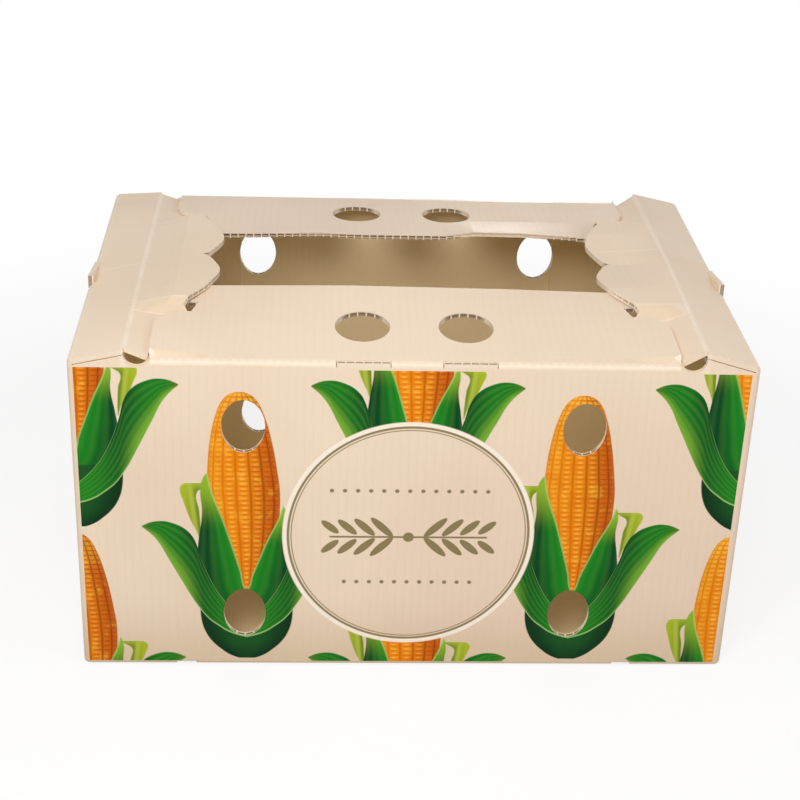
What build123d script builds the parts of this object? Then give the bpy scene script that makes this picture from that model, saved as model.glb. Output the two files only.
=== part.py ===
from build123d import *
import os
from math import cos, radians, sin, sqrt

# Folded box of fluted plastic sheet, in millimetres.
# The origin is at the middle of the underside. +X runs along the box, -Y is the printed
# front and +Z is up. Depths called inset are measured inwards from the front or back face.

# Overall sizes and the sheet
box_length = 500.0
box_depth = 338.0
flap_level = 263.0
sheet = 4.0
corner_radius = 5.0
inner_corner_radius = 1.0
layer_gap = 0.4
overrun = 1.0

# Long top flaps on the front and back walls. Each place called side, here and below, is
# measured inwards from the end wall's outer face.
flap_reach = 114.0
flap_rise = 9.0
flap_side = 58.5
hook_inset = 70.0
hook_radius = 24.0
hook_lift = 3.0
hook_step = 8.0
front_hook_step_rise = 5.0
back_hook_step_rise = 1.0
hook_undercut = 1.5
hook_lift_side = 100.0
slit_clearance = 3.0
barb_side = 74.0

# Wave of each long flap's inner edge, from left to right: a place, as a share of the plain
# middle part's half length, and how far the edge lies above the flap's own rise there
front_edge_wave = [(-1.0, 0.0), (-0.31, 1.5), (0.46, 0.3), (1.0, -1.5)]
back_edge_wave = [
    (-1.0, -0.5),
    (-0.47, 1.8),
    (-0.22, 0.6),
    (0.22, 0.6),
    (0.38, 4.2),
    (0.64, 3.8),
    (0.93, 1.5),
    (1.0, 0.0),
]

# End flaps, with their ridge, necks and wings
end_level = 262.5
ridge_side = 40.5
wing_bend_inset = 70.0
neck_side = 57.0
rise_length = 14.0
wing_rise_side = 70.0
wing_peak_side = 101.7
wing_notch_side = 87.0
wing_peak_from_middle = 29.0
wing_wave_side = 95.8
wing_wave_from_middle = 12.0
wing_edge_side = 93.0
wing_edge_inset = 104.0
slit_root_side = 78.0
slit_root_inset = 78.0
tongue_side = 92.0
tongue_inset = 24.0
tongue_taper = 12.0
tongue_chamfer = 6.0
slit_mouth_side = 84.0
slit_mouth_inset = 69.0
neck_clearance = 0.6

# The two end flaps at the front, the middle and the back: how high their ridges stand over
# the end crease, and how far their wings lie below the highest wing
left_ridge_rise = [8.0, 6.5, 2.0]
right_ridge_rise = [10.5, 13.5, 8.0]
left_wing_drop = [0.0, 0.8, 0.3]
right_wing_drop = [1.5, 5.0, 0.0]

# Bends in the sheet
bend_radius = 4.5
bend_steps = 4

# Relief holes beside the long flaps
relief_radius = 9.3
relief_level = 266.8

# Vent holes, all of them upright ovals
wall_vent_width = 32.0
wall_vent_height = 43.0
wall_vent_side = 125.0
upper_vent_level = 210.0
lower_vent_level = 48.5
flap_vent_width = 41.0
flap_vent_depth = 46.0
flap_vent_x = 38.5
flap_vent_inset = 52.5

# Hand holes in the end walls
hand_hole_width = 90.0
hand_hole_height = 32.0
hand_hole_level = 212.0

# Stacking tabs, cut out of the top creases: two in a row in the long ones, which lie a
# little below the flap, and a pointed one that stands out of each end crease
stack_tab_width = 38.5
stack_tab_drop = 1.2
end_tab_length = 46.0
end_tab_shift = 11.0
end_tab_height = 7.0
end_tab_low = 0.6
end_tab_nose = 6.0
tab_gap = 0.6
tab_seat = 3.4

# Open flute cells in the long flaps' inner edges and the stacking tabs' top edges
flute_pitch = 6.4
cell_width = 5.5
cell_height = 2.2
cell_depth = 2.0
cell_row_side = 92.0

# Floor flaps and glue tabs
floor_seam = 1.5
floor_bend_radius = 3.0
floor_flap_trim = 8.0
end_floor_flap = 165.0
floor_notch_side = 79.5
floor_notch_width = 15.0
floor_notch_height = 3.0
glue_tab_reach = 110.5
glue_tab_drop = 12.0
glue_bite = 0.5

half_length = box_length / 2
half_depth = box_depth / 2
flap_half_width = half_length - flap_side
barb_half_width = half_length - barb_side
hook_lift_start = half_length - hook_lift_side
flap_slope = flap_rise / flap_reach
ridge_x = half_length - ridge_side
neck_x = half_length - neck_side
tongue_x = half_length - tongue_side
tongue_tip_x = tongue_x - tongue_taper
slit_root_x = half_length - slit_root_side
wing_edge_x = half_length - wing_edge_side
wing_level = flap_level + flap_rise + sheet + layer_gap
crease_start = flap_level - bend_radius
end_crease_start = end_level - bend_radius
above_all = flap_level + flap_reach


def between(places, place):
    """Value at a place, on straight runs between the listed places and their values."""
    for (start, low), (end, high) in zip(places, places[1:]):
        if place <= end:
            break
    return low + (high - low) * (place - start) / (end - start)


def flap_top(inset):
    """Height of a long flap's upper face out to its hooks, away from its ends."""
    return flap_level + flap_slope * inset


def hook_top(inset, step_rise):
    """Height of a long flap's upper face at its lifted side edge, out to the hook."""
    hook_level = flap_top(hook_inset) + hook_lift
    return between([(hook_step, flap_level + step_rise), (hook_inset, hook_level)], inset)


def bend_points(radius, center_inset, center_level):
    """Points of a quarter bend, from the wall's face round to the flap's face."""
    turns = [radians(180 - 90 * step / bend_steps) for step in range(bend_steps + 1)]
    return [(center_inset + radius * cos(a), center_level + radius * sin(a)) for a in turns]


def long_flap_section(x, edge_level, knee_levels):
    """Upright section through a long flap and its crease, at one place along the box."""
    outer = bend_points(bend_radius, bend_radius, crease_start)
    inner = bend_points(bend_radius - sheet, bend_radius, crease_start)
    knees = list(zip((hook_step, hook_inset, flap_reach), knee_levels + [edge_level]))
    under = [(inset, level - sheet) for inset, level in knees]
    ring = outer + knees + under[::-1] + inner[::-1]
    points = [Vector(x, inset - half_depth, level) for inset, level in ring]
    return make_face(Polyline(*points, close=True))


def long_flap(edge_wave, step_rise):
    """Front flap: a sheet bent in from the wall, with its two ends lifted by the necks."""
    plain_edge = flap_level + flap_rise
    edge = [(share * hook_lift_start, plain_edge + wave) for share, wave in edge_wave]
    left_end = (-flap_half_width, edge[0][1])
    right_end = (flap_half_width, edge[-1][1])
    plain = [flap_top(inset) for inset in (hook_step, hook_inset)]
    lifted = [hook_top(inset, step_rise) for inset in (hook_step, hook_inset)]
    sections = [long_flap_section(*place, plain) for place in edge]
    sections.insert(0, long_flap_section(*left_end, lifted))
    sections.append(long_flap_section(*right_end, lifted))
    bent_sheet = loft(sections, ruled=True)
    cells = edge_cells([left_end] + edge + [right_end])
    return bent_sheet & long_flap_outline() - flap_cuts() - cells


def edge_cells(edge):
    """Row of open flute cells along the front flap's inner edge, between the wings."""
    cells = Part()
    count = int((half_length - cell_row_side) / flute_pitch)
    for step in range(-count, count + 1):
        x = step * flute_pitch
        level = between(edge, x) - sheet / 2
        cells += Pos(x, flap_reach - half_depth, level) * Box(cell_width, 2 * cell_depth, cell_height)
    return cells


def half_flap_points():
    """Outline of one end of the front flap, from its crease to its inner edge."""
    side = flap_half_width
    arc_x = side - hook_radius
    arc_inset = hook_inset - hook_radius
    middle = hook_radius / sqrt(2)
    slit_run = (slit_root_x - wing_edge_x) / (wing_edge_inset - slit_root_inset)
    barb_inset = wing_bend_inset + rise_length + slit_clearance
    notch_low = arc_x - hook_undercut
    notch_high = notch_low - slit_run * (barb_inset - hook_inset) / 2
    side_arc = ThreePointArc(
        (side, arc_inset),
        (arc_x + middle, arc_inset + middle),
        (arc_x, hook_inset),
    )
    corners = [
        (arc_x, hook_inset),
        (notch_low, hook_inset),
        (notch_high, barb_inset),
        (barb_half_width, barb_inset),
        (barb_half_width, flap_reach + overrun),
        (0, flap_reach + overrun),
        (0, -overrun),
        (side, -overrun),
        (side, arc_inset),
    ]
    return side_arc, corners


def long_flap_outline():
    """Upright prism with the front flap's outline seen from above."""
    side_arc, corners = half_flap_points()
    half = make_face(Curve() + [side_arc, Polyline(*corners)])
    outline = Plane.XY.offset(crease_start) * Pos(0, -half_depth) * (half + mirror(half, Plane.YZ))
    return extrude(outline, amount=above_all - crease_start)


def flap_cuts():
    """Vent holes of the front flap and the slots that its stacking tabs leave."""
    cuts = Part()
    for x in (-flap_vent_x, flap_vent_x):
        vent = Ellipse(flap_vent_width / 2, flap_vent_depth / 2)
        place = Pos(x, flap_vent_inset - half_depth, flap_level - 3 * sheet)
        cuts += place * extrude(vent, amount=8 * sheet)
        slot = Box(stack_tab_width + 2 * tab_gap, tab_seat, 4 * sheet)
        cuts += Pos(x, tab_seat / 2 - half_depth, crease_start + 2 * sheet) * slot
    return cuts


def stacking_tabs():
    """Upright tabs cut out of the front crease, two in a row, with open cells on top."""
    tabs = Part()
    height = bend_radius - stack_tab_drop
    y = sheet / 2 - half_depth
    count = int(stack_tab_width / flute_pitch)
    for middle in (-flap_vent_x, flap_vent_x):
        tab = Pos(middle, y, crease_start + height / 2) * Box(stack_tab_width, sheet, height)
        for step in range(count):
            x = middle + (step + 0.5 - count / 2) * flute_pitch
            tab -= Pos(x, y, crease_start + height) * Box(cell_width, cell_height, 2 * cell_depth)
        tabs += tab
    return tabs


def outer_block():
    """Solid block with the box's plan, rounded along its upright creases and underside."""
    block = extrude(RectangleRounded(box_length, box_depth, corner_radius), amount=above_all)
    underside = block.faces().sort_by(Axis.Z)[0]
    return fillet(underside.edges(), floor_bend_radius)


def wall_ring():
    """Four walls, before their tops are shaped."""
    inner = RectangleRounded(
        box_length - 2 * sheet,
        box_depth - 2 * sheet,
        inner_corner_radius,
    )
    return outer_block() - extrude(inner, amount=above_all)


def half_top_cut(ridge_rise):
    """What the front wall's right half loses at the top: crease, relief and shoulder."""
    shoulder_high = end_level + ridge_rise - sheet - 2 * layer_gap
    shoulder_low = end_crease_start - layer_gap
    inner_face = half_length - sheet
    reach = half_length + overrun
    above = above_all + overrun
    relief_x = (ridge_x + flap_half_width) / 2
    corners = [
        (0, crease_start),
        (flap_half_width, crease_start),
        (flap_half_width, shoulder_high),
        (ridge_x, shoulder_high),
        (inner_face, shoulder_low),
        (inner_face, end_crease_start),
        (reach, end_crease_start),
        (reach, above),
        (0, above),
    ]
    profile = make_face(Polyline(*corners, close=True))
    open_top = above - relief_level
    profile += Pos(relief_x, relief_level) * Circle(relief_radius)
    profile += Pos(relief_x, relief_level + open_top / 2) * Rectangle(2 * relief_radius, open_top)
    return extrude(Plane.XZ * profile, amount=half_depth + overrun)


def wall_top_cut():
    """What all the walls lose at the top, with each corner's shoulder at its own level."""
    right_front, right_back = [half_top_cut(right_ridge_rise[i]) for i in (0, -1)]
    left_front, left_back = [half_top_cut(left_ridge_rise[i]) for i in (0, -1)]
    front = right_front + mirror(left_front, Plane.YZ)
    back = right_back + mirror(left_back, Plane.YZ)
    return front + mirror(back, Plane.XZ)


def wall_vents():
    """Oval vents that go straight through the front and back walls."""
    cuts = Part()
    oval = Plane.XZ * Ellipse(wall_vent_width / 2, wall_vent_height / 2)
    bore = extrude(oval, amount=box_depth, both=True)
    wall_vent_x = half_length - wall_vent_side
    for x in (-wall_vent_x, wall_vent_x):
        for level in (lower_vent_level, upper_vent_level):
            cuts += Pos(x, 0, level) * bore
    return cuts


def hand_holes():
    """Long round-ended hand hole that goes straight through both end walls."""
    slot = Plane.YZ * SlotOverall(hand_hole_width, hand_hole_height)
    return Pos(0, 0, hand_hole_level) * extrude(slot, amount=box_length, both=True)


def along_depth(values):
    """Values at the front, the middle and the back, each with its inset from the front."""
    return list(zip((0, half_depth, box_depth), values))


def panel_section(inset, ridge_rise):
    """Upright section through the left end flap's outer panel and its bend."""
    outer = bend_points(bend_radius, bend_radius, end_crease_start)
    inner = bend_points(bend_radius - sheet, bend_radius, end_crease_start)
    outer = outer[:-1] + [(ridge_side, end_level + ridge_rise)]
    inner = inner[:-1] + [(ridge_side, end_level + ridge_rise - sheet)]
    points = [Vector(x - half_length, inset - half_depth, z) for x, z in outer + inner[::-1]]
    return make_face(Polyline(*points, close=True))


def end_panel(ridge_rises):
    """Left end flap's outer panel: it bends in from the end wall and climbs to the ridge."""
    bent = loft([panel_section(*place) for place in along_depth(ridge_rises)], ruled=True)
    plan = RectangleRounded(box_length, box_depth - 2 * layer_gap, corner_radius)
    return bent & extrude(plan, amount=above_all)


def wing_section(inset, ridge_rise, knee_x, knee_level, tip_level):
    """Upright section through the end flap inside its ridge, at one inset from the front."""
    top = [(ridge_x, end_level + ridge_rise), (knee_x, knee_level), (tongue_tip_x, tip_level)]
    ring = top + [(x, level - sheet) for x, level in top[::-1]]
    points = [Vector(-x, inset - half_depth, level) for x, level in ring]
    return make_face(Polyline(*points, close=True))


def tongue_level(inset, x, step_rise):
    """Upper face of the tongue, which lies just below the hook above it."""
    tops = [(hook_lift_start, flap_top(inset)), (flap_half_width, hook_top(inset, step_rise))]
    return between(tops, x) - sheet - layer_gap


def neck_rows(step_rise):
    """Places of the end flap's front neck and tongue: inset, knee, its level and the tip's."""
    places = [hook_step / 2, wing_bend_inset]
    levels = [[tongue_level(inset, x, step_rise) for x in (neck_x, tongue_tip_x)] for inset in places]
    return [(inset, neck_x, *pair) for inset, pair in zip(places, levels)]


def wing_sheet(ridge_rises, wing_drops):
    """Left end flap inside the ridge: low at both necks and raised to a wing between them."""
    far_necks = neck_rows(back_hook_step_rise)[::-1]
    far_necks = [(box_depth - inset, *levels) for inset, *levels in far_necks]
    front, middle, back = [wing_level - drop for drop in wing_drops]
    rise = wing_bend_inset + rise_length
    flat = flap_reach + overrun
    wings = [(rise, front), (flat, front), (half_depth, middle)]
    wings += [(box_depth - flat, back), (box_depth - rise, back)]
    rise_x = half_length - wing_rise_side
    rows = neck_rows(front_hook_step_rise)
    rows += [(inset, rise_x, level, level) for inset, level in wings]
    rows += far_necks
    ridge = along_depth(ridge_rises)
    sections = [wing_section(row[0], between(ridge, row[0]), *row[1:]) for row in rows]
    return loft(sections, ruled=True)


def wing_outline():
    """Upright prism with the outline of the left end flap inside its ridge."""
    middle = half_depth
    notch_x = half_length - wing_notch_side
    wave = (half_length - wing_wave_side, middle - wing_wave_from_middle)
    peak = (half_length - wing_peak_side, middle - wing_peak_from_middle)
    edge = (wing_edge_x, wing_edge_inset)
    taper_inset = hook_step + slit_clearance
    bump = Spline((notch_x, middle), wave, peak, edge, tangents=[(-1, -0.45), (0.35, -1)])
    corners = [
        edge,
        (slit_root_x, slit_root_inset),
        (half_length - slit_mouth_side, slit_mouth_inset),
        (tongue_x, wing_bend_inset - tongue_chamfer),
        (tongue_x, tongue_inset),
        (tongue_x + tongue_taper, taper_inset),
        (neck_x - neck_clearance, taper_inset),
        (neck_x - neck_clearance, sheet + overrun),
        (ridge_x, sheet + overrun),
        (ridge_x, middle),
        (notch_x, middle),
    ]
    quarter = Pos(0, -half_depth) * make_face(Curve() + [bump, Polyline(*corners)])
    half = mirror(quarter + mirror(quarter, Plane.XZ), Plane.YZ)
    return extrude(half, amount=above_all, dir=(0, 0, 1))


def end_tab():
    """Upright tab that stands out of the left end crease."""
    near = -end_tab_length / 2 - end_tab_shift
    far = end_tab_length / 2 - end_tab_shift
    foot = end_crease_start - overrun
    corners = [
        (near, foot),
        (near, end_level + end_tab_height),
        (far - end_tab_nose, end_level + end_tab_low),
        (far, end_level),
        (far, foot),
    ]
    face = Plane.YZ * make_face(Polyline(*corners, close=True))
    return Pos(-half_length, 0, 0) * extrude(face, amount=sheet)


def end_tab_slot():
    """Slot in the end flap's bend, where the left end tab was cut out."""
    slot = Box(tab_seat, end_tab_length + 2 * tab_gap, 6 * sheet)
    return Pos(tab_seat / 2 - half_length, -end_tab_shift, end_level) * slot


def end_flap(ridge_rises, wing_drops):
    """Whole left end flap with its tab."""
    outer = end_panel(ridge_rises) - end_tab_slot()
    inner = wing_sheet(ridge_rises, wing_drops) & wing_outline()
    return outer + inner + end_tab()


def floor_flaps():
    """Two long floor flaps that meet in the middle, with the end flaps glued on them."""
    reach = half_depth - floor_seam / 2
    plate = Box(box_length - 2 * floor_flap_trim, reach, sheet)
    front = Pos(0, -half_depth + reach / 2, sheet / 2) * plate & outer_block()
    inside_length = box_length - 2 * sheet + 2 * glue_bite
    inside_depth = box_depth - 2 * sheet + 2 * glue_bite
    inner = extrude(RectangleRounded(inside_length, inside_depth, inner_corner_radius), amount=sheet)
    gap = Box(box_length - 2 * (sheet + end_floor_flap), box_depth, 3 * sheet)
    inner -= gap
    return front + mirror(front, Plane.XZ) + Pos(0, 0, sheet) * inner


def glue_tabs():
    """Glued ends of the end walls, flat on the inside of the back wall."""
    width = glue_tab_reach - sheet + glue_bite
    height = crease_start - 2 * sheet - glue_tab_drop
    tab = Box(width, sheet, height)
    x = half_length - glue_tab_reach + width / 2
    y = half_depth - 1.5 * sheet
    tab = Pos(x, y, 2 * sheet + height / 2) * tab
    return tab + mirror(tab, Plane.YZ)


def floor_notches():
    """Small cuts where the floor creases begin, at the bottom of the long walls."""
    cuts = Part()
    notch = Box(floor_notch_width, 2 * sheet, 2 * floor_notch_height)
    floor_notch_x = half_length - floor_notch_side
    for x in (-floor_notch_x, floor_notch_x):
        for y in (-half_depth, half_depth):
            cuts += Pos(x, y, 0) * notch
    return cuts


def folded_box():
    """The whole blank, folded and glued."""
    walls = wall_ring() - wall_top_cut()
    front = long_flap(front_edge_wave, front_hook_step_rise) + stacking_tabs()
    back = long_flap(back_edge_wave, back_hook_step_rise) + stacking_tabs()
    left = end_flap(left_ridge_rise, left_wing_drop)
    right = end_flap(right_ridge_rise, right_wing_drop)
    box = walls + front + mirror(back, Plane.XZ)
    box = box + left + mirror(right, Plane.YZ)
    box = box + floor_flaps() + glue_tabs()
    return box - wall_vents() - hand_holes() - floor_notches()


os.makedirs("parts", exist_ok=True)
box = folded_box()
export_step(box, "parts/folded_box.step")
print("folded_box", box.volume, len(box.solids()), box.bounding_box())
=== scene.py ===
from math import cos, pi, sin

import bpy
from mathutils import Matrix, Vector


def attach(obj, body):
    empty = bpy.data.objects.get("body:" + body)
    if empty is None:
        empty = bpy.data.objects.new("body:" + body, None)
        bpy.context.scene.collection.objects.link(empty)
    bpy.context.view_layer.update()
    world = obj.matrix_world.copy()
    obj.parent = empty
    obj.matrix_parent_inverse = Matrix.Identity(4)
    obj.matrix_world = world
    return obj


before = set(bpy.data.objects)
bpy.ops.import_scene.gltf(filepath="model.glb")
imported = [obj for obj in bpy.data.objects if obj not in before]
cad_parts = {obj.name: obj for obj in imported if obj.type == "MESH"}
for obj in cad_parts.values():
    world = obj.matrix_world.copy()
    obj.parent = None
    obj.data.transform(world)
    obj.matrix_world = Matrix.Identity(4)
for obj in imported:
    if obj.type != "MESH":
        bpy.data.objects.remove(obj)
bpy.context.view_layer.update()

MM = 0.001

# Sizes of the folded box, in millimetres
HALF_LENGTH = 250.0
HALF_DEPTH = 169.0
FLAP_LEVEL = 263.0
FLAP_REACH = 114.0
FLAP_RISE = 9.0
FLAP_HALF_WIDTH = 191.5
RIDGE_X = 209.5
NECK_X = 168.0
END_LEVEL = 262.5
WING_LEVEL = 276.4
WING_X = 140.0
WING_INSET = 68.0
WING_GAP = 2.2
WING_BEND_INSET = 70.0
WING_FLAT_INSET = 84.0
SHEET = 4.0
FLUTE_PITCH = 6.4
TAB_X = 38.5
TAB_WIDTH = 38.5
TAB_LEVEL = 261.8
VENT_X = 125.0
VENT_LEVELS = (48.5, 210.0)
VENT_WIDTH = 32.0
VENT_HEIGHT = 43.0
CUTTER_LENGTH = 10.0

# How far the wings' tops sink below their level, as (right, left)
WING_FRONT_DROP = (1.5, 0.0)
WING_BACK_DROP = (0.0, 0.3)
WING_MIDDLE_DROP = (5.0, 0.8)

# Creases that packing pressed across the end flaps, as (side, x and y of the inner end, slope,
# half width, strength)
PRESSED_CREASES = (
    (1, 154.0, 22.0, 0.07, 1.1, 1.0),
    (-1, -205.0, -2.0, 0.17, 1.1, 1.0),
    (-1, -160.0, 62.0, -0.2, 1.3, 0.6),
)

# Reach of the sheet's masks, in millimetres: the painted shade above the floor, the folds below
# the top, the corners without cut edges, and how far a mask goes past its edge
LOW_SHADE_LEVEL = 95.0
FOLD_DEPTH = 8.0
CORNER = 8.0
SLACK = 0.2

# Printed area of the two long walls, in millimetres
PRINT_LEFT = -245.5
PRINT_RIGHT = 243.5
PRINT_LOW = 3.2
PRINT_HIGH = 256.5
PRINT_PROUD = 0.05
PRINT_DEPTH = 0.1

# Cob figures: how far apart their columns stand, and the levels of their bases
COLUMN_PITCH = 125.0
COLUMN_SHIFT = 1.5
FIGURE_PERIOD = 237.0
FIGURE_BASE = 8.5

# How far the figures in the middle and outer columns reach from their own middle: at the levels
# of their cobs, at those of their long leaves, and how much more at the lime leaves low down
NARROW_REACH = 46.5
WIDE_REACH = 77.5
LIME_REACH = 3.5

# Levels between which those figures are narrow, the top of their low lime leaves, and the level
# that parts the upper of them from the lower
NARROW_LEVELS = (15.0, 165.0)
LOW_LIME_LEVEL = 60.0
UPPER_LEVEL = 120.0

# Oval label: its middle and size in millimetres, its rings as shares of its size, its dots and
# their rows as (level, half length, pitch), and how soft the edge of its ink is
LABEL_X = -1.5
LABEL_LEVEL = 118.0
LABEL_HALF_WIDTH = 95.0
LABEL_HALF_HEIGHT = 97.0
RING = 0.955
THIN_RING = 0.930
DOT_RADIUS = 1.6
DOT_ROWS = ((157.0, 62.0, 9.7), (77.0, 52.0, 9.6))
INK_EDGE = 0.3

# Sprig on the label, in millimetres: its level, its stem, the berry in its middle, the leaves on
# either side of it, and how much shorter each pair of them is than the pair before
SPRIG_LEVEL = 117.0
STEM_HALF_LENGTH = 60.0
STEM_HALF_WIDTH = 0.8
BERRY_RADIUS = 4.1
LEAF_PAIRS = 4
LEAF_START = 6.0
LEAF_PITCH = 13.0
LEAF_HALF_LENGTH = 8.5
LEAF_HALF_WIDTH = 4.2
LEAF_LEAN = 0.9
LEAF_TAPER = 0.9

# Surface of the sheet: how deep its relief is in metres, and how glossy the sheet and print are
RELIEF_DEPTH = 0.00012
SHEET_GLOSS = 0.1
PRINT_GLOSS = 0.06

# How much of a normal points a way before its face counts as facing that way, and how much for
# the flutes of an end wall
FACING = 0.6
END_FACING = 0.75

# Camera of the photograph: where it stands in metres, how it is turned in radians, and its lens
CAMERA_PLACE = (-0.07595, -1.26979, 0.79453)
CAMERA_YAW = 0.0583
CAMERA_PITCH = 0.4710
CAMERA_ROLL = 0.0375
CAMERA_SENSOR = 36.0
CAMERA_LENS = 77.0

# Lamps: name, place, what they look at, size in metres and power in watts
BOX_MIDDLE = (0.0, 0.0, 0.15)
BACK_WALL = (0.0, 0.17, 0.12)
LAMPS = (
    ("key", (-0.35, -1.0, 1.2), BOX_MIDDLE, 0.8, 12.8),
    ("fill", (1.3, -1.1, 1.05), BOX_MIDDLE, 1.2, 7.5),
    ("back", (0.3, 1.7, 0.12), BACK_WALL, 0.22, 5.0),
)
LAMP_COLOUR = (1.0, 0.98, 0.96)

# Background and floor: their colours as light, how white the floor is seen by the box, the
# distances in millimetres from there to all white, and the floor's size and level in metres
WHITE = (1.0, 1.0, 1.0, 1.0)
SKY = (0.95, 0.97, 1.0, 1.0)
SKY_STRENGTH = 0.46
FLOOR_MATT = (0.62, 0.61, 0.6, 1.0)
FLOOR_BRIGHT = (0.94, 0.93, 0.92, 1.0)
FLOOR_WHITE = 0.8
FLOOR_FADE = (420.0, 900.0)
FLOOR_SIZE = 12.0
FLOOR_LEVEL = -0.0006


class Reading:
    """One number that varies over a surface. Python's operators add the Math nodes."""

    def __init__(self, nodes, socket):
        self.nodes = nodes
        self.socket = socket

    def __add__(self, other):
        return self.nodes.math("ADD", self, other)

    def __radd__(self, other):
        return self.nodes.math("ADD", other, self)

    def __sub__(self, other):
        return self.nodes.math("SUBTRACT", self, other)

    def __rsub__(self, other):
        return self.nodes.math("SUBTRACT", other, self)

    def __mul__(self, other):
        return self.nodes.math("MULTIPLY", self, other)

    def __rmul__(self, other):
        return self.nodes.math("MULTIPLY", other, self)

    def __truediv__(self, other):
        return self.nodes.math("DIVIDE", self, other)

    def __rtruediv__(self, other):
        return self.nodes.math("DIVIDE", other, self)

    def __mod__(self, other):
        return self.nodes.math("FLOORED_MODULO", self, other)

    def __abs__(self):
        return self.nodes.math("ABSOLUTE", self)

    def __neg__(self):
        return self.nodes.math("MULTIPLY", self, -1.0)

    def __lt__(self, other):
        return self.nodes.math("LESS_THAN", self, other)

    def __gt__(self, other):
        return self.nodes.math("GREATER_THAN", self, other)


class Nodes:
    """The nodes of a material or of the world, and the sums that both use."""

    def __init__(self, owner):
        owner.use_nodes = True
        self.tree = owner.node_tree
        self.tree.nodes.clear()

    def node(self, kind, settings=None, sockets=None):
        """Add a node: its settings first, then the values or links of its sockets."""
        made = self.tree.nodes.new(kind)
        for setting, value in (settings or {}).items():
            setattr(made, setting, value)
        for socket, value in (sockets or {}).items():
            if isinstance(value, Reading):
                self.tree.links.new(value.socket, made.inputs[socket])
            elif isinstance(value, bpy.types.NodeSocket):
                self.tree.links.new(value, made.inputs[socket])
            else:
                made.inputs[socket].default_value = value
        return made

    def math(self, operation, *values):
        """Add a Math node on readings and numbers."""
        sockets = dict(enumerate(values))
        made = self.node("ShaderNodeMath", {"operation": operation}, sockets)
        return Reading(self, made.outputs[0])

    def least(self, a, b):
        return self.math("MINIMUM", a, b)

    def most(self, a, b):
        return self.math("MAXIMUM", a, b)

    def seen(self):
        """1 where the camera, gloss or glass looks, and 0 for light on its way to the box."""
        rays = self.node("ShaderNodeLightPath").outputs
        camera = Reading(self, rays["Is Camera Ray"])
        gloss = Reading(self, rays["Is Glossy Ray"])
        glass = Reading(self, rays["Is Transmission Ray"])
        return self.most(self.most(camera, gloss), glass)

    def blend(self, mask, under, over):
        """The shader over in place of the shader under, as far as the mask says."""
        sockets = {0: mask, 1: under.outputs[0], 2: over.outputs[0]}
        return self.node("ShaderNodeMixShader", {}, sockets)


class Finish(Nodes):
    """A material of the box or of the floor."""

    def __init__(self, name):
        self.material = bpy.data.materials.new(name)
        super().__init__(self.material)

    def sine(self, value):
        return self.math("SINE", value)

    def whole(self, value):
        """The whole number at or below a value."""
        return self.math("FLOOR", value)

    def distance(self, across, up):
        """How far a point is from the place where both readings are 0."""
        return self.math("SQRT", across * across + up * up)

    def choose(self, mask, yes, no):
        """The value yes where the mask is 1, and no where it is 0."""
        return no + mask * (yes - no)

    def ramp(self, value, low, high):
        """0 up to low, 1 from high, and smooth between. With high below low it runs down."""
        settings = {"interpolation_type": "SMOOTHSTEP"}
        made = self.node("ShaderNodeMapRange", settings, {0: value, 1: low, 2: high})
        return Reading(self, made.outputs[0])

    def curve(self, value, points, reach):
        """A smooth curve through points of (value, result), both in millimetres up to reach."""
        made = self.node("ShaderNodeFloatCurve", {}, {1: value / reach})
        line = made.mapping.curves[0]
        made.mapping.use_clip = False
        for point, (at, result) in zip(line.points, (points[0], points[-1])):
            point.location = (at / reach, result / reach)
        for at, result in points[1:-1]:
            line.points.new(at / reach, result / reach)
        made.mapping.update()
        return Reading(self, made.outputs[0]) * reach

    def noise(self, scale, detail=2.0, roughness=0.5):
        """Soft noise from 0 to 1, with about scale blots to the metre."""
        place = self.node("ShaderNodeTexCoord").outputs["Object"]
        sockets = {"Vector": place, "Scale": scale, "Detail": detail, "Roughness": roughness}
        return Reading(self, self.node("ShaderNodeTexNoise", {}, sockets).outputs[0])

    def parts(self, vector):
        """The x, y and z of a vector."""
        parts = self.node("ShaderNodeSeparateXYZ", {}, {0: vector})
        return [Reading(self, part) for part in parts.outputs]

    def place(self):
        """Where a point is on the box, in millimetres."""
        place = self.node("ShaderNodeTexCoord").outputs["Object"]
        sockets = {0: place, "Scale": 1 / MM}
        scaled = self.node("ShaderNodeVectorMath", {"operation": "SCALE"}, sockets)
        return self.parts(scaled.outputs[0])

    def facing(self):
        """Which way a face looks, as the three parts of its normal."""
        return self.parts(self.node("ShaderNodeTexCoord").outputs["Normal"])

    def mix(self, mask, under, over):
        """The colour over laid on the colour under, as far as the mask says."""
        made = self.node("ShaderNodeMix", {"data_type": "RGBA"}, {0: mask, 6: under, 7: over})
        return made.outputs[2]

    def close(self, shader):
        """The finished material, with the shader as its surface."""
        self.node("ShaderNodeOutputMaterial", {}, {"Surface": shader.outputs[0]})
        return self.material

    def plastic(self, colour, roughness, height, gloss):
        """The finished material of a plastic surface, with a shallow relief."""
        relief = {"Height": height, "Distance": RELIEF_DEPTH, "Strength": 1.0}
        sockets = {
            "Base Color": colour,
            "Roughness": roughness,
            "Normal": self.node("ShaderNodeBump", {}, relief).outputs[0],
            "Specular IOR Level": gloss,
        }
        return self.close(self.node("ShaderNodeBsdfPrincipled", {}, sockets))


def tint(red, green, blue):
    """A colour from its usual 0 to 255 numbers."""
    parts = []
    for part in (red, green, blue):
        level = part / 255
        parts.append(level / 12.92 if level <= 0.04045 else ((level + 0.055) / 1.055) ** 2.4)
    return (*parts, 1.0)
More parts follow.
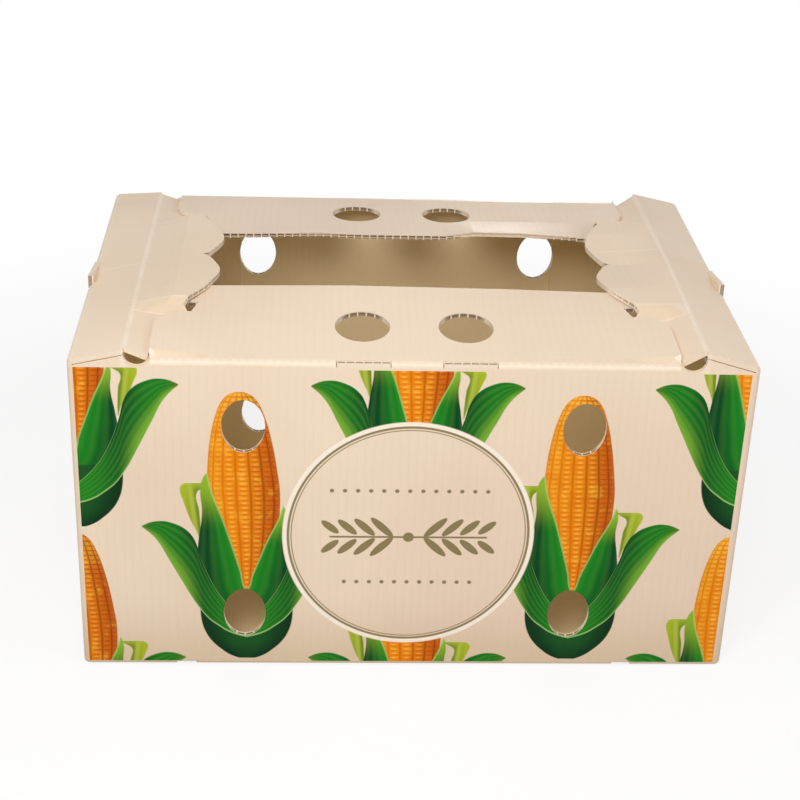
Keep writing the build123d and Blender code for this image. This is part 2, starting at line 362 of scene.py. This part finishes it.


# Colours of the sheet: its plastic, its clouds, its dirt, the painted shade in its cut cells and
# the painted glow of light through the sheet on its inside
CREAM = tint(236, 216, 191)
CREAM_DEEP = tint(212, 188, 158)
CREAM_PALE = tint(248, 234, 216)
CREAM_DUSTY = tint(228, 206, 180)
CREAM_BLUSH = tint(232, 205, 184)
GREY_DUST = tint(184, 164, 138)
PAINTED_CELL_SHADE = tint(104, 82, 50)
PAINTED_INNER_GLOW = tint(253, 232, 186)

# Colours of the leaves and the bowl
LEAF_DARK = tint(2, 66, 32)
LEAF_DEEP = tint(6, 90, 32)
LEAF_GREEN = tint(22, 126, 32)
LEAF_LIGHT = tint(132, 180, 58)
LEAF_RIM = tint(172, 208, 128)
LEAF_TIP = tint(92, 112, 30)
INNER_LEAF_TIP = tint(150, 184, 48)
LIME = tint(166, 180, 40)
LIME_DEEP = tint(110, 136, 26)
LIME_MIDDLE = tint(196, 206, 88)
LIME_TIP = tint(170, 186, 58)
BOWL_GREEN = tint(28, 82, 34)
BOWL_DARK = tint(14, 52, 24)
BOWL_LOW = tint(8, 44, 28)

# Colours of the cob: its kernels from left to right and from low to high, and the gaps
KERNEL_LEFT = tint(240, 162, 36)
KERNEL = tint(238, 140, 16)
KERNEL_RIGHT = tint(190, 84, 18)
KERNEL_HIGH = tint(248, 188, 66)
KERNEL_LOW = tint(230, 118, 14)
KERNEL_DEEP = tint(222, 108, 12)
KERNEL_PALE = tint(255, 190, 60)
KERNEL_SHINE = tint(255, 206, 104)
GAP_LEFT = tint(216, 112, 10)
GAP_RIGHT = tint(138, 62, 14)
COB_RIM = tint(206, 120, 40)

# Ink of the label
KHAKI = tint(122, 108, 62)


def between(value, low, high):
    """1 where a reading lies between two numbers, and 0 elsewhere."""
    return (value > low) * (value < high)


def flute_offset(along):
    """How far a point is from the middle of its flute cell, up to 0.5 at a rib."""
    return abs((along / FLUTE_PITCH + 0.5) % 1.0 - 0.5)


def flute_line(finish, along):
    """Thin line over each rib of the sheet, from 0 between ribs to 1 on a rib."""
    return finish.ramp(flute_offset(along), 0.36, 0.5)


def sheet_colour(finish, rib, z):
    """Cream plastic with the faint clouds that handling leaves, and painted shade that darkens it
    towards the floor.
    """
    cloud = finish.noise(5.0, detail=3.0, roughness=0.55)
    blush = finish.noise(3.1)
    colour = finish.mix(finish.ramp(cloud, 0.3, 0.75), CREAM, CREAM_DUSTY)
    colour = finish.mix(finish.ramp(blush, 0.45, 0.7) * 0.5, colour, CREAM_BLUSH)
    # Painted shade: the sheet grows darker towards the floor.
    low = finish.ramp(z, LOW_SHADE_LEVEL, 0.0)
    colour = finish.mix(low * low * 0.75, colour, CREAM_DEEP)
    return finish.mix(rib * 0.07, colour, CREAM_DEEP)


def sheet_relief(finish, rib):
    """Height of the sheet's surface, which sinks a little at its ribs."""
    return 0.25 * finish.noise(70.0) - 0.35 * rib


def plain_line(finish, away, width):
    """Soft line of a given half width in millimetres; away is measured from its middle."""
    return finish.ramp(abs(away), width, width * 0.25)


def crease_line(finish, z, level, away):
    """Crease where a wall turns into its flap; away is measured from the wall's outer face."""
    return finish.ramp(abs(z - level + 1.5), 3.2, 1.2) * finish.ramp(away, 4.5, 3.0)


def fold_lines(finish, x, y, z, inset):
    """Pale lines where the sheet is scored and folded: partly the whitening of the scored
    plastic, partly painted highlight where the folds catch light. They are dotted by the ribs
    that they cross.
    """
    dots_x = finish.ramp(flute_offset(x), 0.2, 0.34)
    dots_y = finish.ramp(flute_offset(y), 0.2, 0.34)
    top = z > END_LEVEL - FOLD_DEPTH
    crease = crease_line(finish, z, FLAP_LEVEL, inset)
    crease = crease * (abs(x) < FLAP_HALF_WIDTH - 1.0) * (0.28 + 0.22 * dots_x)
    end_crease = crease_line(finish, z, END_LEVEL, HALF_LENGTH - abs(x))
    end_crease = end_crease * (0.2 + 0.3 * dots_y)
    ridge = plain_line(finish, abs(x) - RIDGE_X, 2.8) * top * (0.5 + 0.2 * dots_y)
    inside_ridge = (abs(x) < RIDGE_X) * (abs(x) > NECK_X) * (z > END_LEVEL + 1.0)
    bend = plain_line(finish, inset - WING_BEND_INSET, 1.3) * inside_ridge * 0.4
    flat = plain_line(finish, inset - WING_FLAT_INSET, 1.6) * inside_ridge * 0.25
    lines = finish.most(finish.most(crease, end_crease), ridge)
    return finish.most(lines, finish.most(bend, flat))


def handling_creases(finish, x, y, z):
    """Faint creases that packing pressed across the end flaps: one right and two left."""
    pressed = 0.0
    for side, end_x, end_y, slope, width, strength in PRESSED_CREASES:
        away = y - end_y - slope * (x - end_x)
        line = plain_line(finish, away, width) * (x * side > end_x * side)
        pressed = finish.most(pressed, line * strength)
    return (z > END_LEVEL - 6.0) * pressed


def wing_top(finish, x, y):
    """Level of the end flaps' wings, which sink a little towards the box's middle."""
    on_right = x > 0
    front = finish.choose(on_right, *WING_FRONT_DROP)
    back = finish.choose(on_right, *WING_BACK_DROP)
    middle = finish.choose(on_right, *WING_MIDDLE_DROP)
    end = finish.choose(y > 0, back, front)
    share = finish.least(abs(y) / (HALF_DEPTH - FLAP_REACH), 1.0)
    return WING_LEVEL - finish.choose(share, end, middle)


def cut_edges(finish, place, facing, inset, long_top, on_wing):
    """Masks of the sheet's cut edges and of the open flute cells in them, with the painted shade
    of the cells.
    """
    x, y, z = place
    nx, ny, nz = facing
    beyond = HALF_LENGTH - abs(x)
    on_wall = z < END_LEVEL - 12.0
    skin = SHEET + SLACK
    long_wall = on_wall * (inset < skin) * (abs(ny) < FACING) * (beyond > CORNER)
    end_wall = on_wall * (beyond < skin) * (abs(nx) < FACING) * (inset > CORNER)
    flap = (1 - on_wall) * (inset > 6.0) * (abs(nz) < FACING)
    wing_edge = flap * on_wing * (abs(x) < RIDGE_X - 2.0)
    flap_edge = flap * (1 - on_wing)
    depth = finish.choose(on_wing, wing_top(finish, x, y), long_top) - z
    depth = finish.choose(long_wall, inset, finish.choose(end_wall, beyond, depth))
    end_on = long_wall * abs(nz) + end_wall * abs(nz) + wing_edge * abs(nx) + flap_edge * abs(ny)
    across_y = finish.most(end_wall, wing_edge)
    cell = finish.ramp(flute_offset(finish.choose(across_y, y, x)), 0.44, 0.38)
    hollow = finish.ramp(abs(depth - SHEET / 2), 1.35, 0.95)
    # Painted shade: between the ribs, the lower skin of a flap's cut edge is darkened.
    shaded_low_skin = finish.ramp(depth, 2.0, 3.0) * (1 - on_wing) * (1 - on_wall)
    cells = cell * finish.most(hollow, shaded_low_skin * 0.8) * finish.ramp(end_on, 0.5, 0.85)
    cells = cells * (1 - 0.35 * wing_edge)
    edge = finish.least(long_wall + end_wall + flap, 1.0)
    return edge, cells


def tab_cells(x, z, inset):
    """Painted shade of the open cells in the top edges of the stacking tabs on the long creases.
    """
    beside = abs(abs(x) - TAB_X) < TAB_WIDTH / 2
    deep = between(z, TAB_LEVEL - 2.1, TAB_LEVEL - 0.1)
    within = abs(inset - SHEET / 2) < 1.2
    return beside * deep * within * 0.65


def sheet_finish():
    """Fluted plastic sheet, with its ribs, cut edges, folds and marks of handling, and painted
    shade and light on its low part, tops, folds, edges, cells and inside.
    """
    finish = Finish("fluted_sheet")
    place = finish.place()
    x, y, z = place
    facing = finish.facing()
    nx, ny, nz = facing
    inset = HALF_DEPTH - abs(y)
    long_top = FLAP_LEVEL + FLAP_RISE / FLAP_REACH * inset
    wing = (abs(x) > WING_X) * (z > long_top + WING_GAP) * (inset > WING_INSET)
    on_end = finish.most(wing, abs(x) > FLAP_HALF_WIDTH + SLACK)
    flat = abs(nz) > FACING
    end_flap = flat * on_end * (z > FLAP_LEVEL - FOLD_DEPTH)
    across_y = finish.most(end_flap, (1 - flat) * (abs(nx) > END_FACING))
    rib = flute_line(finish, finish.choose(across_y, y, x))
    colour = sheet_colour(finish, rib, z)
    half = SHEET / 2
    # Painted light: the inner faces get a brighter, warmer colour for light that shines through
    # the sheet.
    inner = (abs(x) < HALF_LENGTH - half) * (inset > half) * (z < FLAP_LEVEL - 3.5) * (z > half)
    colour = finish.mix(inner * 0.95, colour, PAINTED_INNER_GLOW)
    smudge = finish.ramp(finish.noise(11.0, detail=4.0, roughness=0.6), 0.62, 0.78)
    colour = finish.mix(smudge * 0.16, colour, GREY_DUST)
    # Painted shade: tops that lean towards the front are darkened.
    forward_shade = finish.ramp(-ny, 0.11, 0.3) * (nz > FACING) * (inner < 0.5)
    colour = finish.mix(forward_shade * 0.45, colour, CREAM_DEEP)
    folds = fold_lines(finish, x, y, z, inset)
    creases = handling_creases(finish, x, y, z)
    worn = finish.ramp(finish.noise(60.0), 0.3, 0.6)
    # Partly the whitening of scored and creased plastic, partly painted highlight along the
    # folds, ridges and creases.
    pale = finish.least(finish.most(folds, creases * 0.45) * (0.6 + 0.4 * worn), 1.0)
    colour = finish.mix(pale * 0.8, colour, CREAM_PALE)
    edge, cells = cut_edges(finish, place, facing, inset, long_top, wing)
    # Partly the whitening of cut plastic, partly painted light that keeps the cut edges as pale
    # as the tops beside them.
    colour = finish.mix(edge * 0.45, colour, CREAM_PALE)
    # Painted shade in the open flute cells of the cut edges and tabs.
    dark = finish.most(cells, tab_cells(x, z, inset))
    colour = finish.mix(dark * 0.85, colour, PAINTED_CELL_SHADE)
    roughness = 0.42 + 0.14 * finish.noise(40.0) + 0.15 * smudge
    height = sheet_relief(finish, rib) + 0.8 * creases - 1.5 * cells
    return finish.plastic(colour, roughness, height, SHEET_GLOSS)


def print_finish(name, side):
    """Long wall's print: cob figures in staggered columns behind an oval label."""
    finish = Finish(name)
    x, _, z = finish.place()
    across = x * side
    rib = flute_line(finish, x)
    ground = sheet_colour(finish, rib, z)
    picture = figures(finish, ground, across, z)
    picture = label(finish, picture, ground, across, z)
    roughness = 0.38 + 0.12 * finish.noise(40.0)
    return finish.plastic(picture, roughness, sheet_relief(finish, rib), PRINT_GLOSS)


def figure_place(finish, across, z):
    """Place within the nearest cob figure, from the middle of its base."""
    centred = across - COLUMN_SHIFT
    narrow_from, narrow_to = NARROW_LEVELS
    wide = finish.most(z < narrow_from, z > narrow_to)
    narrow = NARROW_REACH + LIME_REACH * (z < LOW_LIME_LEVEL)
    reach = finish.most(narrow, WIDE_REACH * wide)
    far = abs(centred)
    outer = 2 * COLUMN_PITCH
    in_middle = far < reach
    in_outer = far > outer - reach
    column = finish.choose(in_middle, 0.0, finish.choose(in_outer, outer, COLUMN_PITCH))
    column = column * finish.math("SIGN", centred)
    even = finish.most(in_middle, in_outer)
    upper = z > UPPER_LEVEL
    even_base = FIGURE_BASE - FIGURE_PERIOD / 2 + upper * FIGURE_PERIOD
    base = finish.choose(even, even_base, FIGURE_BASE)
    return centred - column, z - base


# Edges of the figure's long leaves, as (distance from the middle, level), in millimetres
LONG_LEAF_TOP = (
    (0, 33),
    (14, 47),
    (21, 57),
    (29, 74),
    (34.5, 90),
    (37.5, 102),
    (42.5, 111.4),
    (53, 118.8),
    (66, 121),
    (78, 116.5),
)
LONG_LEAF_LOW = (
    (0, 17),
    (14, 22),
    (21, 27),
    (29, 34),
    (37, 45.5),
    (47, 65),
    (58, 87.4),
    (67, 105),
    (78, 116.5),
)

# Edges of the inner leaves, the lime leaves, the cob and the bowl, as (level, distance from the
# middle), in millimetres
INNER_LEAF_OUT = (
    (30, 30),
    (60, 37),
    (85, 37.5),
    (105, 35.5),
    (130, 32.5),
    (148, 33.5),
    (158, 31.5),
    (163, 28),
)
INNER_LEAF_IN = ((30, -30), (60, 0), (78, 4.3), (93, 8.4), (119, 15.8), (147, 25), (163, 28))
LIME_OUT = (
    (100, 34),
    (110, 36),
    (122, 41),
    (138, 46),
    (148, 48.5),
    (151, 48),
    (153.5, 45.5),
    (154.5, 30),
)
LIME_IN = ((100, 33.5), (112, 33.7), (130, 34.6), (146, 36), (149, 33), (152, 29))
COB_EDGE = (
    (55, 10),
    (100, 22),
    (143, 27),
    (164, 25.8),
    (194, 21.8),
    (211, 17.6),
    (221, 13.6),
    (226, 9.8),
    (228.5, 6),
    (230, 0),
)
BOWL_EDGE = ((-4, 0), (0, 12), (6, 20), (13.5, 27), (21, 31.3), (32, 34.5), (50, 35))

# How far the edge curves of the leaves and of the cob run, in millimetres
LEAF_REACH = 200.0
COB_REACH = 250.0

# Levels between which these forms are printed
INNER_LEAF_LEVELS = (31.0, 162.5)
LIME_LEVELS = (101.0, 154.5)
COB_LEVELS = (56.0, 229.5)
BOWL_LEVELS = (-2.5, 50.0)

# Veins of the leaves, as waves in radians from one edge to the other
LONG_LEAF_VEINS = 38.0
INNER_LEAF_VEINS = 24.0

# Tip of a long leaf, the level from which the inner and lime leaves on the right are smaller, and
# how much smaller in height and width
TIP_X = 78.0
BEND_LEVEL = 60.0
RIGHT_HEIGHT = 0.76
RIGHT_WIDTH = 1.12

# Kernels: the pitch of their rows, how many columns go half round the cob, and the cob's lean
ROW_PITCH = 4.1
COLUMNS_AROUND = 8.0
COB_LEAN = 4.0


def figures(finish, picture, across, z):
    """Cob figures: a cob between two inner leaves and two long leaves, on a round bowl."""
    u, v = figure_place(finish, across, z)
    far = abs(u)
    on_right = u > 0
    raised = BEND_LEVEL + (v - BEND_LEVEL) / RIGHT_HEIGHT
    lift = finish.choose(on_right * (v > BEND_LEVEL), raised, v)
    spread = finish.choose(on_right, far * RIGHT_WIDTH, far)
    picture = lime_tips(finish, picture, far, lift)
    picture = cob(finish, picture, u, v)
    picture = inner_leaves(finish, picture, far, spread, lift)
    picture = bowl(finish, picture, far, v)
    return long_leaves(finish, picture, far, v)


def inked(finish, distance):
    """Printed shape: 1 where the distance inside its edge is above 0, and soft at the edge."""
    return finish.ramp(distance, -0.5, 0.5)


def long_leaves(finish, picture, far, v):
    """The two long leaves, which sweep from the bowl's front out to their pointed tips."""
    top = finish.curve(far, LONG_LEAF_TOP, LEAF_REACH)
    low = finish.curve(far, LONG_LEAF_LOW, LEAF_REACH)
    mask = inked(finish, v - low) * inked(finish, top - v) * inked(finish, TIP_X - far)
    share = (v - low) / finish.most(top - low, 1.0)
    vein = finish.sine(share * LONG_LEAF_VEINS) * 0.5 + 0.5
    colour = finish.mix(finish.ramp(far, 6.0, 36.0), LEAF_GREEN, LEAF_DEEP)
    colour = finish.mix(finish.ramp(far, 36.0, 60.0) * 0.7, colour, LEAF_GREEN)
    under = finish.ramp(share, 0.55, 0.02) * finish.ramp(far, 30.0, 50.0)
    colour = finish.mix(under * 0.75, colour, LEAF_LIGHT)
    folded = finish.ramp(far, 20.0, 34.0) * finish.ramp(far, 52.0, 38.0)
    shadow = finish.ramp(share, 0.6, 1.0) * folded
    colour = finish.mix(shadow * 0.8, colour, LEAF_DARK)
    colour = finish.mix(finish.ramp(far, TIP_X - 10.0, TIP_X) * 0.6, colour, LEAF_TIP)
    colour = finish.mix(vein * 0.14, colour, LEAF_LIGHT)
    rim = finish.ramp(v - low, 1.7, 0.7) * finish.ramp(far, 46.0, 34.0)
    seam = finish.ramp(top - v, 1.1, 0.4) * finish.ramp(far, 37.0, 30.0)
    colour = finish.mix(finish.most(rim * 0.75, seam * 0.45), colour, LEAF_RIM)
    return finish.mix(mask, picture, colour)


def lime_tips(finish, picture, far, lift):
    """Short pale leaf that shows behind each inner leaf."""
    out = finish.curve(lift, LIME_OUT, LEAF_REACH)
    inner = finish.curve(lift, LIME_IN, LEAF_REACH)
    mask = inked(finish, out - far) * inked(finish, far - inner) * between(lift, *LIME_LEVELS)
    middle = finish.ramp(abs(far - 39.0 - 0.1 * (lift - 130.0)), 3.0, 0.5)
    colour = finish.mix(finish.ramp(far, 34.0, 47.0), LIME_DEEP, LIME)
    colour = finish.mix(middle * 0.5, colour, LIME_MIDDLE)
    colour = finish.mix(finish.ramp(lift, 146.0, 154.0) * 0.7, colour, LIME_TIP)
    return finish.mix(mask, picture, colour)


def cob(finish, picture, u, v):
    """Cob with its kernels in level rows, lit from the left."""
    lean = u + finish.ramp(v, 80.0, 230.0) * COB_LEAN
    half = finish.curve(v, COB_EDGE, COB_REACH)
    mask = inked(finish, half - abs(lean)) * between(v, *COB_LEVELS)
    share = finish.most(finish.least(lean / finish.most(half, 1.0), 0.999), -0.999)
    turn = finish.math("ARCSINE", share) * (COLUMNS_AROUND / pi)
    beside = turn - finish.whole(turn + 0.5)
    above = (v / ROW_PITCH) % 1.0 - 0.5
    across_gap = finish.ramp(abs(beside), 0.30, 0.5)
    row_gap = finish.ramp(abs(above), 0.24, 0.5)
    row_gap = row_gap * finish.choose(v > 190.0, 0.85, 0.6)
    gap = finish.most(across_gap, row_gap)
    kernel = finish.noise(90.0, roughness=0.6)
    body = finish.mix(finish.ramp(share, -1.0, -0.3), KERNEL_LEFT, KERNEL)
    body = finish.mix(finish.ramp(share, 0.0, 1.0), body, KERNEL_RIGHT)
    body = finish.mix(finish.ramp(v, 190.0, 226.0) * 0.55, body, KERNEL_HIGH)
    body = finish.mix(finish.ramp(v, 110.0, 70.0) * 0.5, body, KERNEL_LOW)
    body = finish.mix(finish.ramp(kernel, 0.5, 0.7) * 0.5, body, KERNEL_DEEP)
    body = finish.mix(finish.ramp(kernel, 0.45, 0.3) * 0.4, body, KERNEL_PALE)
    gaps = finish.mix(finish.ramp(share, -0.6, 0.9), GAP_LEFT, GAP_RIGHT)
    colour = finish.mix(gap * 0.85, body, gaps)
    shine = finish.ramp(abs(beside), 0.30, 0.05) * finish.ramp(abs(above + 0.08), 0.26, 0.04)
    shine = shine * finish.ramp(abs(share + 0.15), 0.95, 0.2)
    colour = finish.mix(shine * 0.5, colour, KERNEL_SHINE)
    colour = finish.mix(finish.ramp(abs(share), 0.86, 1.0) * 0.4, colour, COB_RIM)
    return finish.mix(mask, picture, colour)


def inner_leaves(finish, picture, far, spread, lift):
    """The two leaves that hold the cob, which meet in a V below it."""
    out = finish.curve(lift, INNER_LEAF_OUT, LEAF_REACH)
    inner = finish.curve(lift, INNER_LEAF_IN, LEAF_REACH)
    mask = inked(finish, out - spread) * inked(finish, far - inner)
    mask = mask * between(lift, *INNER_LEAF_LEVELS)
    share = (far - inner) / finish.most(out - inner, 1.0)
    vein = finish.sine(share * INNER_LEAF_VEINS) * 0.5 + 0.5
    colour = finish.mix(finish.ramp(share, 0.1, 0.75), LEAF_GREEN, LEAF_DARK)
    lit = finish.ramp(lift, 70.0, 100.0) * finish.ramp(share, 0.8, 0.3)
    colour = finish.mix(lit * 0.35, colour, LEAF_GREEN)
    colour = finish.mix(finish.ramp(lift, 112.0, 158.0) * 0.9, colour, INNER_LEAF_TIP)
    colour = finish.mix(vein * 0.08, colour, LEAF_LIGHT)
    colour = finish.mix(finish.ramp(far - inner, 1.6, 0.7) * 0.6, colour, LEAF_RIM)
    return finish.mix(mask, picture, colour)


def bowl(finish, picture, far, v):
    """Round dark foot of the figure, below the long leaves."""
    foot = BOWL_EDGE[0][0]
    points = [(level - foot, half) for level, half in BOWL_EDGE]
    edge = finish.curve(v - foot, points, LEAF_REACH)
    mask = inked(finish, edge - far) * between(v, *BOWL_LEVELS)
    share = far / finish.most(edge, 1.0)
    colour = finish.mix(finish.ramp(share, 0.2, 1.0), BOWL_GREEN, BOWL_DARK)
    colour = finish.mix(finish.ramp(v, 16.0, -2.0) * 0.6, colour, BOWL_LOW)
    return finish.mix(mask, picture, colour)


def label(finish, picture, ground, across, z):
    """Oval label with a double ring, two rows of dots and a sprig of leaves."""
    beside = (across - LABEL_X) / LABEL_HALF_WIDTH
    above = (z - LABEL_LEVEL) / LABEL_HALF_HEIGHT
    out = finish.distance(beside, above)
    edge = 0.006
    picture = finish.mix(finish.ramp(out, 1.0 + edge, 1.0 - edge), picture, CREAM_PALE)
    picture = finish.mix(finish.ramp(out, RING + edge, RING - edge), picture, ground)
    ring = finish.ramp(abs(out - RING), 0.013, 0.006)
    thin = finish.ramp(abs(out - THIN_RING), 0.007, 0.003)
    ink = finish.most(ring, thin * 0.8)
    for level, half, pitch in DOT_ROWS:
        ink = finish.most(ink, dot_row(finish, across, z, level, half, pitch))
    ink = finish.most(ink, sprig(finish, across, z))
    return finish.mix(ink * 0.9, picture, KHAKI)


def penned(finish, away, radius):
    """Dot or line of ink, up to a given distance from its middle."""
    return finish.ramp(away, radius + INK_EDGE, radius - INK_EDGE)


def dot_row(finish, across, z, level, half, pitch):
    """Row of small dots at one level."""
    beside = (across - LABEL_X + pitch / 2) % pitch - pitch / 2
    dot = penned(finish, finish.distance(beside, z - level), DOT_RADIUS)
    return dot * (abs(across - LABEL_X) < half)


def sprig(finish, across, z):
    """Level stem with pairs of leaves that point away from its middle."""
    far = abs(across - LABEL_X)
    above = abs(z - SPRIG_LEVEL)
    stem = penned(finish, above, STEM_HALF_WIDTH)
    stem = stem * finish.ramp(far, STEM_HALF_LENGTH, STEM_HALF_LENGTH - 1.0)
    along = far - LEAF_START - above * LEAF_LEAN
    step = finish.whole(along / LEAF_PITCH)
    across_leaf = (along - (step + 0.5) * LEAF_PITCH) / LEAF_HALF_WIDTH
    along_leaf = (above - LEAF_HALF_LENGTH) / (LEAF_HALF_LENGTH - LEAF_TAPER * step)
    leaf = finish.ramp(across_leaf * across_leaf + along_leaf * along_leaf, 1.05, 0.9)
    leaf = leaf * between(step, -0.5, LEAF_PAIRS - 0.5)
    berry = penned(finish, finish.distance(far, above), BERRY_RADIUS)
    return finish.most(finish.most(stem, leaf), berry)


def cut_vent(film, x, face_y, level):
    """Cut an oval out of a film, where the wall behind it has a vent."""
    bpy.ops.object.select_all(action="DESELECT")
    bpy.ops.mesh.primitive_cylinder_add(
        vertices=72,
        radius=0.5,
        depth=1.0,
        location=(x * MM, face_y * MM, level * MM),
        rotation=(pi / 2, 0, 0),
        scale=(VENT_WIDTH * MM, VENT_HEIGHT * MM, CUTTER_LENGTH * MM),
    )
    cutter = bpy.context.object
    bpy.ops.object.select_all(action="DESELECT")
    bpy.context.view_layer.objects.active = film
    film.select_set(True)
    hole = film.modifiers.new("vent", "BOOLEAN")
    hole.operation = "DIFFERENCE"
    hole.solver = "EXACT"
    hole.object = cutter
    bpy.ops.object.modifier_apply(modifier=hole.name)
    bpy.data.objects.remove(cutter, do_unlink=True)


def make_print(name, side):
    """Thin printed film on a long wall: side is 1 for the front wall and -1 for the back."""
    finish = print_finish(name, side)
    face_y = -side * (HALF_DEPTH + PRINT_PROUD - PRINT_DEPTH / 2)
    left, right = sorted((PRINT_LEFT * side, PRINT_RIGHT * side))
    middle = ((left + right) / 2 * MM, face_y * MM, (PRINT_LOW + PRINT_HIGH) / 2 * MM)
    size = ((right - left) * MM, PRINT_DEPTH * MM, (PRINT_HIGH - PRINT_LOW) * MM)
    bpy.ops.object.select_all(action="DESELECT")
    bpy.ops.mesh.primitive_cube_add(size=1.0, location=middle, scale=size)
    film = bpy.context.object
    film.name = name
    for x in (-VENT_X, VENT_X):
        for level in VENT_LEVELS:
            cut_vent(film, x, face_y, level)
    bpy.ops.object.transform_apply(location=True, rotation=True, scale=True)
    film.data.materials.clear()
    film.data.materials.append(finish)
    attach(film, "root")


def aim_camera():
    """Camera where the photograph was taken from."""
    across, along = sin(CAMERA_YAW), cos(CAMERA_YAW)
    look = Vector((across * cos(CAMERA_PITCH), along * cos(CAMERA_PITCH), -sin(CAMERA_PITCH)))
    level = Vector((along, -across, 0.0))
    rise = level.cross(look)
    right = level * cos(CAMERA_ROLL) + rise * sin(CAMERA_ROLL)
    up = rise * cos(CAMERA_ROLL) - level * sin(CAMERA_ROLL)
    turn = Matrix((right, up, -look)).transposed().to_4x4()
    data = bpy.data.cameras.new("camera")
    data.sensor_width = CAMERA_SENSOR
    data.lens = CAMERA_LENS
    camera = bpy.data.objects.new("camera", data)
    bpy.context.scene.collection.objects.link(camera)
    camera.matrix_world = Matrix.Translation(CAMERA_PLACE) @ turn
    bpy.context.scene.camera = camera


def add_lamp(name, place, target, size, power):
    """Soft square lamp that looks at a point."""
    data = bpy.data.lights.new(name, "AREA")
    data.shape = "SQUARE"
    data.size = size
    data.energy = power
    data.color = LAMP_COLOUR
    lamp = bpy.data.objects.new(name, data)
    bpy.context.scene.collection.objects.link(lamp)
    lamp.location = place
    way = Vector(target) - Vector(place)
    lamp.rotation_euler = way.to_track_quat("-Z", "Y").to_euler()


def floor_finish():
    """Pale matt floor. Where it is seen it is mostly plain white, and all white further off."""
    finish = Finish("pale_floor")
    x, y, _ = finish.place()
    away = finish.ramp(finish.distance(x, y), *FLOOR_FADE)
    white = FLOOR_WHITE + (1 - FLOOR_WHITE) * away
    matt = finish.node("ShaderNodeBsdfDiffuse", {}, {"Color": FLOOR_MATT})
    bright = finish.node("ShaderNodeBsdfDiffuse", {}, {"Color": FLOOR_BRIGHT})
    glow = finish.node("ShaderNodeEmission", {}, {"Color": WHITE, "Strength": 1.0})
    shown = finish.blend(white, bright, glow)
    return finish.close(finish.blend(finish.seen(), matt, shown))


def lay_floor():
    """Wide level floor just under the box."""
    bpy.ops.object.select_all(action="DESELECT")
    bpy.ops.mesh.primitive_plane_add(size=FLOOR_SIZE, location=(0, 0, FLOOR_LEVEL))
    floor = bpy.context.object
    floor.name = "floor"
    bpy.ops.object.transform_apply(location=True, rotation=True, scale=True)
    floor.data.materials.append(floor_finish())


def light_world():
    """Background that is seen as white, and lights the box softly."""
    world = bpy.data.worlds.new("studio")
    bpy.context.scene.world = world
    nodes = Nodes(world)
    soft = nodes.node("ShaderNodeBackground", {}, {"Color": SKY, "Strength": SKY_STRENGTH})
    white = nodes.node("ShaderNodeBackground", {}, {"Color": WHITE, "Strength": 1.0})
    both = nodes.blend(nodes.seen(), soft, white)
    nodes.node("ShaderNodeOutputWorld", {}, {"Surface": both.outputs[0]})


sheet = sheet_finish()
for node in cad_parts.values():
    node.data.materials.clear()
    node.data.materials.append(sheet)

make_print("print_front", 1)
make_print("print_back", -1)

aim_camera()
lay_floor()
light_world()
for lamp in LAMPS:
    add_lamp(*lamp)
bpy.context.scene.view_settings.view_transform = "Standard"
